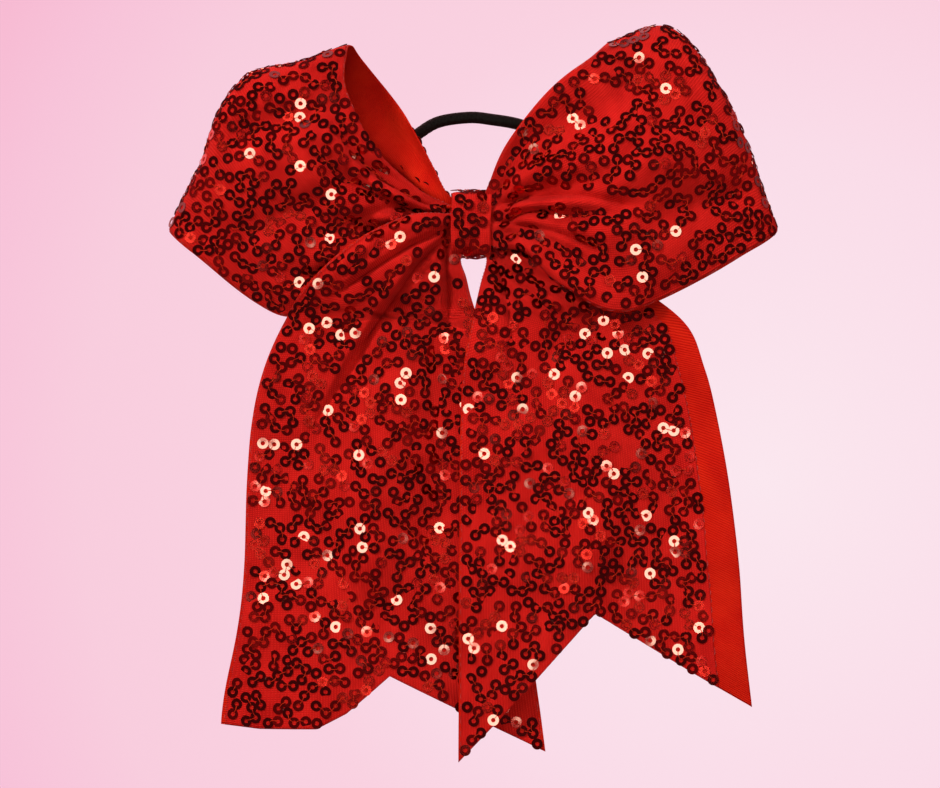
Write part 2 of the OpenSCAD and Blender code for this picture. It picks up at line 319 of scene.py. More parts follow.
def net_material():
    """Red knitted mesh that carries the sequins: small loops in rows, a little darker than the satin."""
    material, tree, shader = principled("red_mesh", (0.62, 0.012, 0.008), 0.62)
    set_inputs(shader, Specular_IOR_Level=0.15, Specular_Tint=(1.0, 0.3, 0.2, 1))
    set_inputs(shader, Sheen_Weight=0.15, Sheen_Roughness=0.5, Sheen_Tint=(1.0, 0.12, 0.12, 1))
    flat = flat_coordinates(tree)
    rows = bands(tree, flat, 0.7, "X")
    courses = bands(tree, flat, 0.45, "Y")
    knit = add_maths(tree, "MULTIPLY", rows, courses)
    slow = noise_of(tree, flat, 0.12, 4.0)
    tone = mix_of(tree, knit, 0.4, slow, 0.6)
    colour = ramp(tree, tone, [
        (0.12, (0.34, 0.004, 0.005)),
        (0.4, (0.66, 0.013, 0.012)),
        (0.75, (0.86, 0.026, 0.022)),
    ])
    link(tree, colour, shader.inputs["Base Color"])
    link(tree, value_range(tree, knit, 0.7, 0.5), shader.inputs["Roughness"])
    bump(tree, shader, knit, 0.0002, 1.0)
    return material


def grained(tree, shader, scale, detail, shades, top, gloss, depth, strength):
    """Uneven colour, roughness and relief, all from one noise pattern."""
    pattern = noise_of(tree, object_coordinates(tree), scale, detail)
    link(tree, ramp(tree, pattern, [(0.3, shades[0]), (top, shades[1])]), shader.inputs["Base Color"])
    link(tree, value_range(tree, pattern, *gloss), shader.inputs["Roughness"])
    bump(tree, shader, pattern, depth, strength)


def sequin_material(name, base, roughness):
    """Metallised film under a clear coat, with faint scuffs and dents."""
    material, tree, shader = principled(name, base, roughness, Metallic=1.0)
    set_inputs(shader, Coat_Weight=0.6, Coat_IOR=2.0, Coat_Roughness=0.05)
    where = object_coordinates(tree)
    scuffs = noise_of(tree, where, 500.0, 2.0)
    link(tree, value_range(tree, scuffs, roughness * 0.7, roughness * 1.5), shader.inputs["Roughness"])
    bump(tree, shader, noise_of(tree, where, 220.0, 1.0), 0.00001, 0.2)
    return material


def thread_material(name, dark, light):
    """Twisted sewing thread."""
    material, tree, shader = principled(name, light, 0.55)
    set_inputs(shader, Specular_IOR_Level=0.2, Specular_Tint=(1.0, 0.4, 0.3, 1))
    grained(tree, shader, 2500.0, 2.0, (dark, light), 0.7, (0.45, 0.65), 0.00004, 0.6)
    return material


def braid_material():
    """Black polyester braid."""
    material, tree, shader = principled("black_braid", (0.006, 0.006, 0.007), 0.6)
    set_inputs(shader, Specular_IOR_Level=0.2, Sheen_Weight=0.04, Sheen_Roughness=0.5)
    shades = ((0.001, 0.001, 0.001), (0.007, 0.007, 0.008))
    grained(tree, shader, 1800.0, 4.0, shades, 0.75, (0.5, 0.75), 0.00006, 0.7)
    return material


def plain_material(name, base, roughness, grain, depth, darker=0.7, **settings):
    """A moulded or cast surface with a little uneven colour, gloss and grain."""
    material, tree, shader = principled(name, base, roughness, **settings)
    dark = tuple(darker * c for c in base)
    gloss = (roughness * 0.75, roughness * 1.3)
    grained(tree, shader, grain, 4.0, (dark, base), 0.7, gloss, depth, 0.6)
    return material


SATIN = satin_material()
NET = net_material()
THREAD = thread_material("red_thread", (0.3, 0.003, 0.003), (0.80, 0.05, 0.016))
EDGE_THREAD = thread_material("edge_thread", (0.28, 0.015, 0.02), (0.62, 0.11, 0.12))
BRAID = braid_material()
# Three copies of one metallised sequin film, dark, mid and bright: painted reflection, standing in for how
# much light each sequin catches, on top of what the lamps give.
SEQUIN_PAINTED_REFLECTIONS = [
    sequin_material("sequin_painted_dark_reflection", (0.15, 0.002, 0.002), 0.10),
    sequin_material("sequin_red", (0.32, 0.004, 0.004), 0.13),
    sequin_material("sequin_painted_bright_reflection", (0.62, 0.02, 0.015), 0.18),
]
GLUE = plain_material("hot_glue", (0.80, 0.74, 0.58), 0.3, 400.0, 0.0001, 0.85)
NYLON = plain_material("nylon", (0.78, 0.77, 0.72), 0.4, 700.0, 0.00004, 0.9)
RUBBER = plain_material("rubber_core", (0.05, 0.05, 0.05), 0.7, 600.0, 0.00006)
METAL = plain_material("ferrule_metal", (0.70, 0.70, 0.72), 0.3, 900.0, 0.00004, 0.8, Metallic=1.0)

# ---------------- the shape of the ribbon

# Nets of five points across, from the lower or left selvage to the upper or right one.
LEFT_LOOP = [
    [[-3.5, -2.4, -4.5], [-3.5, -2.8, -2.2], [-3.5, -2.8, 0], [-3.5, -2.8, 2.2], [-3.5, -2.6, 4]],
    [[-7.6, -2.6, -6], [-7.6, -3.4, -3], [-7.6, -3.6, 0], [-7.6, -3.4, 3], [-7.6, -3, 5.8]],
    [[-17, -2.6, -10], [-16, -4, -5], [-15.5, -5, 0], [-15, -5.8, 5], [-14.7, -5.6, 9.2]],
    [[-32, -2.5, -18], [-31, -5.5, -8], [-29, -8, 2], [-27, -10, 12], [-25.3, -9, 19.5]],
    [[-50, -3, -24.3], [-48, -8, -9], [-44, -12.5, 7], [-38, -13, 22], [-32.4, -10, 33.9]],
    [[-73, -3.5, -7.5], [-68, -8.5, 12], [-59, -10.5, 31.5], [-44.5, -8.5, 39.5], [-32.5, -5, 44.3]],
    [[-78.9, 0.5, -2.1], [-70.8, 1, 15.5], [-61, 1, 36.6], [-45.6, 0, 42.3], [-31.3, -1, 46.8]],
    [[-72.5, 4, -7], [-67.5, 8, 12], [-58.5, 9, 31.5], [-43.5, 7.5, 39.3], [-29, 3.5, 44]],
    [[-49, 5, -21], [-46, 9.5, -6], [-41, 11, 8], [-32, 10, 21], [-21, 7, 34]],
    [[-30, 3.5, -15], [-28, 6, -6], [-25, 7, 3], [-20, 7, 12], [-15.5, 5, 25.4]],
    [[-16, 1.5, -9], [-15.5, 2.8, -4], [-14.5, 3.3, 1], [-12.5, 3.3, 7], [-10.5, 2.5, 15.5]],
    [[-7.6, 0.8, -6], [-7.6, 1.4, -2.5], [-7.6, 1.6, 1], [-7.6, 1.4, 4.8], [-6.8, 0.8, 8.8]],
    [[-3.5, 0.6, -4.5], [-3.5, 1, -2], [-3.5, 1.2, 1], [-3.5, 1, 3.5], [-3.5, 0.6, 6]],
]
RIGHT_LOOP = [
    [[3.5, -4.2, -4.5], [3.5, -4.3, -2], [3.5, -4.3, 0.5], [3.5, -4.2, 3.5], [3, -4, 6]],
    [[7, -5.2, -6.5], [7.4, -5.8, -3], [7.4, -5.9, 0], [7, -5.7, 4.5], [4.4, -5, 9.8]],
    [[14.5, -8.4, -8], [14.5, -9, -2], [14.2, -9.2, 4], [12.8, -8.5, 11], [9.3, -6.5, 19.8]],
    [[24.5, -12, -17], [26.5, -13.5, -6], [27, -14.5, 5], [25.5, -13.5, 18], [20, -9, 33.4]],
    [[42, -13, -23.2], [44, -15.5, -6], [43.5, -17, 11], [40, -15, 27], [29.5, -8, 41.7]],
    [[74, -6, -6.5], [70.5, -10, 13], [63.5, -12, 30.5], [51.5, -9.5, 46.5], [34, -5, 45.8]],
    [[80, 0, -1.5], [73.5, 0.5, 15], [66, 0.5, 33], [52.4, 0.5, 50.4], [35.5, 0, 46.9]],
    [[73, 4.5, -6.5], [69.5, 9, 13], [62.5, 11, 30], [51, 9, 46], [34.8, 4, 45.2]],
    [[44, 5.5, -19], [43, 10, -5], [40, 12, 9], [34, 11, 24], [25, 7, 35]],
    [[26, 4, -13], [25.5, 6.5, -4], [24, 7.5, 5], [20.5, 7, 15], [15, 5, 24]],
    [[14.5, 1.8, -8], [14.2, 3, -2.5], [13.5, 3.4, 3], [12, 3.2, 9], [9.5, 2.5, 14.5]],
    [[7.6, 0.8, -6], [7.6, 1.4, -2.5], [7.6, 1.6, 1], [7.6, 1.4, 4.5], [7.4, 0.8, 7.5]],
    [[3.5, 0.6, -4.5], [3.5, 1, -2], [3.5, 1.2, 1], [3.5, 1, 3.5], [3.5, 0.6, 6]],
]
LEFT_TOP = [
    [[-3.5, -4.6, 1.8], [-3.6, -4.8, 0], [-3.6, -4.8, -2.2], [-3.4, -4.7, -4.6], [-2, -4.4, -6.6]],
    [[-7, -5.6, 2.5], [-7.1, -6, -1.5], [-7.2, -6, -5.5], [-6.4, -5.8, -9.4], [-2.7, -5.2, -9.8]],
    [[-17, -8.6, 1.8], [-17, -10, -5], [-15.5, -10, -11], [-11, -8.8, -14.5], [-1.4, -6, -14]],
    [[-31, -10.8, -5.5], [-29.5, -10.5, -12], [-25, -9.5, -17.5], [-16, -7.5, -19.5], [-0.3, -5.2, -18.5]],
    [[-43, -8.5, -16.5], [-38, -7.5, -20], [-29, -6.5, -22], [-17, -5.6, -22.8], [0.9, -4.7, -22.3]],
]
RIGHT_TOP = [
    [[2, -3.2, -6.6], [3.6, -3.2, -6], [3.8, -3.2, -4.4], [3.8, -3, -2.6], [3.6, -2.8, -1]],
    [[4.1, -3.4, -9.4], [6.6, -3.6, -9.2], [7.3, -3.6, -6.5], [7.3, -3.3, -3.5], [7.3, -3, -1]],
    [[2.6, -5.6, -15.5], [8, -6.4, -16.5], [14, -6.6, -15.5], [18.5, -6, -12], [21, -5, -7.5]],
    [[1.3, -7.6, -21], [11, -8.2, -21.5], [21.5, -8.8, -20.5], [31.5, -8.5, -18], [40, -7.5, -15]],
]

# Selvages as [z, x] pairs, and the cut ends as [share of width, z] pairs.
LEFT_TAIL_LEFT = [
    [-150, -60.6], [-133, -60.2], [-110, -59.1], [-85, -59.2], [-65, -58.7],
    [-53, -57.6], [-40, -55], [-33, -51.6], [-26, -49],
]
LEFT_TAIL_RIGHT = [[-150, 21], [-138.4, 19.7], [-120, 16.8], [-95, 14], [-70, 10], [-45, 6], [-26, 2.2]]
LEFT_TAIL_CUT = [
    [0, -131.6], [0.08, -132.6], [0.25, -132.4], [0.35, -128.3], [0.5, -118.6], [0.75, -128.5], [1, -138.4],
]
RIGHT_TAIL_LEFT = [[-150, -3.3], [-99, -3.2], [-60, -2.9], [-46, -2.6], [-36, -1.8], [-26, 0.3]]
RIGHT_TAIL_RIGHT = [
    [-150, 74.5], [-126.3, 73.4], [-117, 72.6], [-111, 71.2], [-106, 71.6], [-85.5, 69.3],
    [-67, 67.1], [-56, 65.3], [-40, 61.3], [-32, 59.2], [-26, 55.5],
]
RIGHT_TAIL_CUT = [[0, -140.8], [0.48, -101.9], [1, -126.3]]

LEFT_SWING_Y = -4.5
RIGHT_SWING_Y = -8.5
SWING_Z = -26.0
LEVELS = [-26, -38, -52, -70, -90, -110, -130, -150]

# Folds as (kind, width, depth, line), with the lines in the front view. Each starts at half its strength and
# fades out at its end, and one of negative depth stands out. A valley sinks evenly on both sides. At a tuck,
# the cloth on the line's right lies over the cloth on its left, with a groove between them.
LEFT_LOOP_FOLDS = [
    ("valley", 1.5, 2.2, [(-6, 4.5), (-16, 9.5), (-27, 17)]),
    ("valley", 1.5, 2.2, [(-6, 1.8), (-18, 4), (-33, 1)]),
    ("valley", 3.5, -0.9, [(-8, 3.2), (-20, 7), (-42, 9)]),
    ("valley", 4.5, 2.8, [(-28, 11), (-46, 3), (-64, -6)]),
    ("valley", 4.5, 2.6, [(-34, 31), (-50, 26), (-68, 20)]),
]
RIGHT_LOOP_FOLDS = [
    ("tuck", 4.5, 2.4, [(5, 4.2), (16, 5.5), (29, 6), (46, 2.4)]),
    ("tuck", 4.0, 2.2, [(5, 0.4), (13, -1), (20, -2.4), (29, -6), (35, -9.5)]),
    ("valley", 1.5, 0.7, [(8, -1.6), (14, -4), (20, -7)]),
    ("valley", 1.6, 1.8, [(6, 7), (13, 14), (22, 20)]),
    ("valley", 5.0, 3.0, [(22, 18), (36, 30), (50, 42)]),
    ("valley", 4.5, 2.6, [(42, 2.4), (58, 4), (76, 10)]),
    ("valley", 5.0, -1.6, [(18, 12), (38, 14), (62, 20)]),
]
LEFT_TAIL_FOLDS = [
    ("tuck", 6.0, 3.0, [(-5.5, -2), (-13, -8.7), (-20.3, -18.4), (-28.7, -30.8), (-45, -58)]),
    ("tuck", 4.0, 2.4, [(-5.5, -0.2), (-18.4, -6.8), (-38, -19.5)]),
    ("tuck", 4.0, 2.2, [(-7, -4), (-7.3, -12), (-6.6, -30)]),
    ("valley", 6.0, 3.0, [(-6.6, -18), (-7.5, -50), (-8, -100)]),
    ("valley", 8.0, -2.4, [(-18, -34), (-24, -70), (-30, -108)]),
    ("valley", 7.0, 2.0, [(-52, -62), (-36, -88), (-16, -114)]),
]
RIGHT_TAIL_FOLDS = [
    ("tuck", 4.0, 1.0, [(5, -8), (8, -17), (10, -34)]),
    ("valley", 4.5, 1.8, [(42, -23), (30, -29), (14, -37)]),
    ("valley", 7.0, 1.0, [(14, -44), (17, -80), (14, -118)]),
    ("valley", 7.0, -3.0, [(30, -38), (35, -70), (28, -104)]),
    ("valley", 7.0, 2.6, [(44, -32), (54, -70), (58, -108)]),
]
FOLD_SAMPLES = 60
FOLD_SWELLS_OVER, FOLD_FADES_OVER = 0.3, 0.25
TUCK_EDGE = 0.7
TUCK_SWELL = 0.4
GROOVE_WIDTH = 1.1
GROOVE_SHARE = 0.7


def place_beside(path, x, z):
    """For each (x, z): the share of the path at its nearest point, the distance left of it and past it."""
    run = np.gradient(path, axis=0)
    run /= np.linalg.norm(run, axis=1, keepdims=True)
    dx = x[..., None] - path[:, 0]
    dz = z[..., None] - path[:, 1]
    nearest = np.argmin(dx**2 + dz**2, axis=-1)[..., None]
    dx = np.take_along_axis(dx, nearest, -1)[..., 0]
    dz = np.take_along_axis(dz, nearest, -1)[..., 0]
    nearest = nearest[..., 0]
    left = dz * run[nearest, 0] - dx * run[nearest, 1]
    past = dx * run[nearest, 0] + dz * run[nearest, 1]
    return nearest / (len(path) - 1), left, past


def fold_section(kind, width, left):
    """The depth of a fold of depth 1, at a distance left of its line."""
    if kind == "valley":
        return np.exp(-((left / width) ** 2))
    under = 0.5 + 0.5 * np.tanh(left / TUCK_EDGE)
    section = under * np.exp(-np.maximum(left, 0) / width)
    section -= TUCK_SWELL * (1 - under) * np.exp(-np.maximum(-left, 0) / width)
    return section + GROOVE_SHARE * np.exp(-((left / GROOVE_WIDTH - 0.5) ** 2))


def fold_depth(x, z, folds):
    """How far back the folds take the cloth at (x, z) in the front view."""
    back = np.zeros_like(x)
    for kind, width, depth, line in folds:
        path = spline(line, np.linspace(0, len(line) - 1, FOLD_SAMPLES))
        share, left, past = place_beside(path, x, z)
        strength = 0.5 + 0.5 * fade(share / FOLD_SWELLS_OVER)
        strength = strength * fade((1 - share) / FOLD_FADES_OVER + 0.02)
        strength = strength * np.exp(-((past / width) ** 2))
        back += depth * strength * fold_section(kind, width, left)
    return back


PLEAT_COUNT = 4.5
LOOP_PLEAT_DEPTH = 1.7
TAIL_PLEAT_DEPTH = 0.5
PLEATS_BEGIN, PLEATS_RISE_OVER = 3.0, 12.0
PLEATS_FALL_FROM, PLEATS_FALL_OVER = 22.0, 34.0


def pleats(distance, v, depth, phase):
    """Pleats that run out of the knot and die away along the ribbon; v runs from 0 to 1 across it."""
    rise = fade((distance - PLEATS_BEGIN) / PLEATS_RISE_OVER)
    fall = fade((distance - PLEATS_FALL_FROM) / PLEATS_FALL_OVER)
    drift = v + 0.035 * np.sin(2 * math.pi * 1.6 * v + phase) + 0.02 * np.sin(distance / 9 + phase)
    return depth * (rise * (1 - fall)) * np.sin(2 * math.pi * PLEAT_COUNT * drift + phase)


def wrinkles(g, scale, depth, seed):
    """Small soft unevenness of the cloth, as a distance along the normal."""
    out = np.zeros(g.shape[:2])
    for i in range(g.shape[0]):
        for j in range(g.shape[1]):
            out[i, j] = depth * noise.noise(Vector(g[i, j] / scale) + Vector((seed, 0, 0)))
    return out


def net_grid(rows, along, across):
    """A fine grid on the smooth surface through a net of points."""
    rows = np.asarray(rows, float)
    net = spline(rows, np.linspace(0, len(rows) - 1, along))
    net = np.moveaxis(net, 1, 0)
    return np.moveaxis(spline(net, np.linspace(0, len(net) - 1, across)), 0, 1)


def flat_lengths(g):
    """Distances along and across each point of a grid, in millimetres, for the weave."""
    middle = g[:, g.shape[1] // 2]
    run = np.concatenate([[0], np.cumsum(np.linalg.norm(np.diff(middle, axis=0), axis=1))])
    across = np.linspace(0, RIBBON_MM, g.shape[1])
    return np.stack(np.broadcast_arrays(across[None, :], run[:, None]), 2).astype(float)


def lowest_nearby(values, steps):
    """Each grid value replaced by the lowest one within so many steps of it."""
    for _ in range(steps):
        p = np.pad(values, 1, mode="edge")
        values = np.minimum.reduce([p[1:-1, 1:-1], p[:-2, 1:-1], p[2:, 1:-1], p[1:-1, :-2], p[1:-1, 2:]])
    return values


class Limb:
    """One loop or tail of ribbon, named as its body: a fine grid, its normals and its flat lengths.

    Its level is 1 where the cloth faces as it would without folds, and falls on the sides of a fold.
    """

    def __init__(self, name, grid, unfolded_normals, start, end):
        self.name = name
        self.grid = grid
        self.normals = grid_normals(grid)
        self.level = lowest_nearby((self.normals * unfolded_normals).sum(axis=2), LEVEL_STEPS)
        self.flat = flat_lengths(grid)
        self.body = name
        self.start = start
        self.end = end

    def bend(self, obj):
        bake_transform(obj)


ACROSS = 121
LOOP_ROWS = 241
TAIL_ROWS = 251
LEVEL_STEPS = 2
LOOP_BENDS_FROM, LOOP_BENDS_TO = 7.0, 34.0
TAIL_BENDS_FROM, TAIL_BENDS_TO = -18.0, -46.0
LOOP_WRINKLE, LOOP_WRINKLE_DEPTH = 14.0, 1.4
TAIL_WRINKLE, TAIL_WRINKLE_DEPTH = 16.0, 1.2


def loop_limb(name, rows, folds, side):
    """A loop from its net; side is -1 on the left and 1 on the right, where the net runs the other way."""
    g = net_grid(rows, LOOP_ROWS, ACROSS)
    if side > 0:
        g = g[:, ::-1]
    n = grid_normals(g)
    front = fade((-n[..., 1] - 0.1) / 0.5)
    g = g.copy()
    run = flat_lengths(g)[..., 1]
    distance = np.minimum(run, run[-1] - run)
    v = np.linspace(0, 1, ACROSS)[None, :]
    g += n * pleats(distance, v, LOOP_PLEAT_DEPTH, side)[..., None]
    unfolded_normals = grid_normals(g)
    g[..., 1] += front * fold_depth(g[..., 0], g[..., 2], folds)
    out = fade((np.abs(g[..., 0]) - 10) / 25)
    g += n * (wrinkles(g, LOOP_WRINKLE, LOOP_WRINKLE_DEPTH, 3.0 * side) * out)[..., None]
    start = place(side * LOOP_BENDS_FROM, 0, 0)
    end = place(side * LOOP_BENDS_TO, 0, 0)
    return Limb(name, g, unfolded_normals, start, end)


# The curl takes this share of the tail's length and width, and swells beside its tip.
CURL_FROM, CURL_LENGTH, CURL_WIDTH = 0.72, 0.28, 0.2
TIP_OUT, TIP_BACK = 5.6, 5.0
CURL_SWELL, SWELL_WIDTH = 2.4, 0.16


def curl_corner(g):
    """The lower left corner of the left tail curls back and its tip stands out."""
    rows, columns = g.shape[:2]
    down = fade((np.linspace(0, 1, rows) - CURL_FROM) / CURL_LENGTH)[:, None]
    across = np.linspace(0, 1, columns)[None, :]
    tip = (down * np.clip(1 - across / CURL_WIDTH, 0, 1)) ** 2
    g[..., 0] -= TIP_OUT * tip
    g[..., 1] += TIP_BACK * tip
    g[..., 1] -= CURL_SWELL * (down * np.exp(-((across - CURL_WIDTH) / SWELL_WIDTH) ** 2))


def soften_depth(g, passes):
    """Evens out the depth of a grid, so that no crease shows where two parts of a net meet."""
    y = g[..., 1]
    for _ in range(passes):
        around = (y[:-2, 1:-1] + y[2:, 1:-1] + y[1:-1, :-2] + y[1:-1, 2:]) / 4
        y[1:-1, 1:-1] += 0.8 * (around - y[1:-1, 1:-1])


UNCUT_ROWS = 901
CUT_BELOW_ROW = 300
SOFTEN_PASSES = 220
HANG_OVER = 60
HANG_RIPPLE = 0.9


def uncut_tail(top, left, right, swing_y, drift):
    """The net of a tail: its gathered top, then level rows between its selvages."""
    rows = list(top)
    for z in LEVELS:
        a, b = smooth_table(left, z), smooth_table(right, z)
        y = swing_y + drift * fade((SWING_Z - z) / HANG_OVER)
        rows.append([[a + (b - a) * share, y, z] for share in np.linspace(0, 1, 5)])
    return net_grid(rows, UNCUT_ROWS, ACROSS)


def cut_tail(net, cut):
    """The columns of a tail's net, each resampled to stop at its cut end."""
    shares, heights = zip(*cut)
    ends = np.interp(np.linspace(0, 1, ACROSS), shares, heights)
    g = np.zeros((TAIL_ROWS, ACROSS, 3))
    position = np.arange(UNCUT_ROWS)
    for j in range(ACROSS):
        column = net[:, j]
        stop = np.interp(-ends[j], -column[CUT_BELOW_ROW:, 2], position[CUT_BELOW_ROW:])
        s = np.linspace(0, stop, TAIL_ROWS)
        for axis in range(3):
            g[:, j, axis] = np.interp(s, position, column[:, axis])
    return g


def tail_limb(name, top, left, right, cut, swing_y, drift, folds, phase, curled):
    """A tail from its top, selvages and cut end; phase shifts its pleats and ripples."""
    g = cut_tail(uncut_tail(top, left, right, swing_y, drift), cut)
    soften_depth(g, SOFTEN_PASSES)
    v = np.linspace(0, 1, ACROSS)[None, :]
    g[..., 1] += pleats(flat_lengths(g)[..., 1], v, TAIL_PLEAT_DEPTH, phase)
    unfolded_normals = grid_normals(g[:, ::-1])
    hang = fade((SWING_Z - 6 - g[..., 2]) / HANG_OVER)
    g[..., 1] += fold_depth(g[..., 0], g[..., 2], folds)
    g[..., 1] += hang * HANG_RIPPLE * np.sin(3 * math.pi * v + phase)
    if curled:
        curl_corner(g)
    g = g[:, ::-1].copy()
    n = grid_normals(g)
    out = fade((-g[..., 2] - 14) / 20)
    g += n * (wrinkles(g, TAIL_WRINKLE, TAIL_WRINKLE_DEPTH, 5.0 + phase) * out)[..., None]
    start = place(0, swing_y, TAIL_BENDS_FROM)
    end = place(0, swing_y, TAIL_BENDS_TO)
    return Limb(name, g, unfolded_normals, start, end)


LIMBS = [
    loop_limb("left_loop", LEFT_LOOP, LEFT_LOOP_FOLDS, -1),
    loop_limb("right_loop", RIGHT_LOOP, RIGHT_LOOP_FOLDS, 1),
    tail_limb("left_tail", LEFT_TOP, LEFT_TAIL_LEFT, LEFT_TAIL_RIGHT, LEFT_TAIL_CUT,
              LEFT_SWING_Y, 0.8, LEFT_TAIL_FOLDS, 0.4, True),
    tail_limb("right_tail", RIGHT_TOP, RIGHT_TAIL_LEFT, RIGHT_TAIL_RIGHT, RIGHT_TAIL_CUT,
              RIGHT_SWING_Y, 0.0, RIGHT_TAIL_FOLDS, 2.2, False),
]

# ---------------- hair elastic

ELASTIC_R = 1.6
ELASTIC_Y = 5.8
RING_LEAN = math.radians(43)
# The elastic's route round its leaning plane, as [x, distance up the plane] pairs.
RING_ROUTE = [[0.1, 0], [7.5, 0], [12.5, 1.5], [18, 6], [23, 13], [25.5, 21], [24.5, 29], [20, 35.5],
              [12.8, 39.5], [6, 41.3], [-0.5, 42.2], [-8.8, 40.4], [-14.4, 35.6], [-19, 30],
              [-21.5, 22], [-20.5, 13.5], [-16.5, 6], [-12, 1.5], [-7.5, 0], [-0.1, 0]]
RING_SAMPLES = 720
BRAID_SIDES = 30
BRAID_PITCH = 5.0
STRANDS = 5
STRAND_HEIGHT, STRAND_SINK = 0.16, 0.15


def ring_points(count):
    """The centre line of the elastic, which leans back from the knot."""
    flat = spline(RING_ROUTE, np.linspace(0, len(RING_ROUTE) - 1, count))
    return np.stack([
        flat[:, 0],
        ELASTIC_Y + flat[:, 1] * math.sin(RING_LEAN),
        flat[:, 1] * math.cos(RING_LEAN),
    ], 1)


def build_elastic():
    p = ring_points(RING_SAMPLES)
    steps = np.linalg.norm(np.diff(p, axis=0), axis=1)
    run = np.concatenate([[0], np.cumsum(steps)])

    def braid(k, angle):
        turn = 2 * math.pi * run[k] / BRAID_PITCH
        over = abs(math.sin(0.5 * (STRANDS * angle + turn * STRANDS / 2)))
        under = abs(math.sin(0.5 * (STRANDS * angle - turn * STRANDS / 2)))
        return STRAND_HEIGHT * max(over, under) - STRAND_SINK

    vertices, faces = tube(p, ELASTIC_R, BRAID_SIDES, braid)
    obj = new_object("elastic_braid", vertices, faces, [BRAID])
    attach(obj, "hair_elastic")
    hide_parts("elastic_cover")


build_elastic()

# ---------------- ribbon and mesh

BARE_STRIP = 8.0
SATIN_BACK, SATIN_FRONT = -0.18, 0.1
NET_BACK, NET_FRONT = 0.13, 0.34


def build_ribbon(limb, nodes):
    satin = closed_sheet(limb.name + "_satin", limb.grid, limb.normals, SATIN_BACK, SATIN_FRONT, SATIN,
                         limb.flat)
    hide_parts(*nodes)
    limb.bend(satin)
    return satin


def net_columns(limb):
    """The columns that the sequin mesh covers: all but a strip on the right tail's outer side."""
    first = 1
    if limb.name == "right_tail":
        first = round(ACROSS * BARE_STRIP / RIBBON_MM)
    return slice(first, -1)


def build_net(limb, nodes):
    part = (slice(None), net_columns(limb))
    net = closed_sheet(limb.name + "_net", limb.grid[part], limb.normals[part], NET_BACK, NET_FRONT, NET,
                       limb.flat[part])
    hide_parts(*nodes)
    limb.bend(net)
    return net


# ---------------- sequins and their threads

SEQUIN_R = 1.5
SEQUIN_HOLE_R = 0.6
SEQUIN_T = 0.11
DISH = 0.004
SEQUIN_SIDES = 14
STEP_LOW, STEP_HIGH = 2.7, 3.15
TURN_LOW, TURN_HIGH = 0.2, 1.9
MOST_LINKS = 7
STEP_TRIES = 6
START_TRIES = 300
CLEAR = 2.55
CUBE = 3.0
PATCH = 7.0
BARE_ABOVE = 0.3
LEVEL_ENOUGH = 0.8


def sequin_template():
    """A flat ring, dished a little towards its hole."""
    vertices = []
    front = [(SEQUIN_HOLE_R, 0.0), (SEQUIN_R, DISH)]
    back = [(SEQUIN_R, DISH - SEQUIN_T), (SEQUIN_HOLE_R, -SEQUIN_T)]
    for radius, height in front + back:
        for k in range(SEQUIN_SIDES):
            a = 2 * math.pi * k / SEQUIN_SIDES
            vertices.append((radius * math.cos(a), radius * math.sin(a), height))
    faces = []
    for ring in range(4):
        a0, b0 = ring * SEQUIN_SIDES, (ring + 1) % 4 * SEQUIN_SIDES
        for k in range(SEQUIN_SIDES):
            k2 = (k + 1) % SEQUIN_SIDES
            faces.append((a0 + k2, a0 + k, b0 + k, b0 + k2))
    return np.array(vertices), np.array(faces)


class Surface:
    """Positions, normals and directions on a grid, found by fractional row and column."""

    def __init__(self, g, n, level):
        self.g = g
        self.n = n
        self.level = level
        self.rows, self.columns = g.shape[:2]
        self.along = np.gradient(g, axis=0)
        self.across = np.gradient(g, axis=1)

    def inside(self, i, j):
        return 1 <= i <= self.rows - 2 and 1 <= j <= self.columns - 2

    def room(self, i, j, margin_mm):
        """Whether a sequin fits here, away from the edges and the sides of folds."""
        if self.at(self.level, i, j) < LEVEL_ENOUGH:
            return False
        du = np.linalg.norm(self.at(self.along, i, j))
        dv = np.linalg.norm(self.at(self.across, i, j))
        edge = min(min(i, self.rows - 1 - i) * du, min(j, self.columns - 1 - j) * dv)
        return edge >= margin_mm

    def at(self, field, i, j):
        i0, j0 = min(int(i), self.rows - 2), min(int(j), self.columns - 2)
        a, b = i - i0, j - j0
        return ((1 - a) * ((1 - b) * field[i0, j0] + b * field[i0, j0 + 1])
                + a * ((1 - b) * field[i0 + 1, j0] + b * field[i0 + 1, j0 + 1]))

    def walk(self, i, j, angle, distance):
        """The grid place a distance in millimetres away in the surface, at an angle to the ribbon's run."""
        u, v = self.at(self.along, i, j), self.at(self.across, i, j)
        e1 = u / max(np.linalg.norm(u), 1e-9)
        w = v - e1 * (v @ e1)
        e2 = w / max(np.linalg.norm(w), 1e-9)
        target = distance * (math.cos(angle) * e1 + math.sin(angle) * e2)
        m = np.array([[u @ u, u @ v], [u @ v, v @ v]])
        di, dj = np.linalg.solve(m + np.eye(2) * 1e-9, np.array([u @ target, v @ target]))
        return i + di, j + dj


class Crowd:
    """The places that sequins have taken, kept in cubes so that only near ones are compared."""

    def __init__(self, clear):
        self.clear = clear
        self.cubes = {}

    def cube(self, p):
        return tuple(np.floor(p / CUBE).astype(int))

    def near(self, p):
        x, y, z = self.cube(p)
        for dx, dy, dz in itertools.product((-1, 0, 1), repeat=3):
            yield from self.cubes.get((x + dx, y + dy, z + dz), ())

    def free(self, p, allow=None):
        return all(q is allow or ((p - q) ** 2).sum() >= self.clear * self.clear for q in self.near(p))

    def keep(self, p):
        self.cubes.setdefault(self.cube(p), []).append(p)


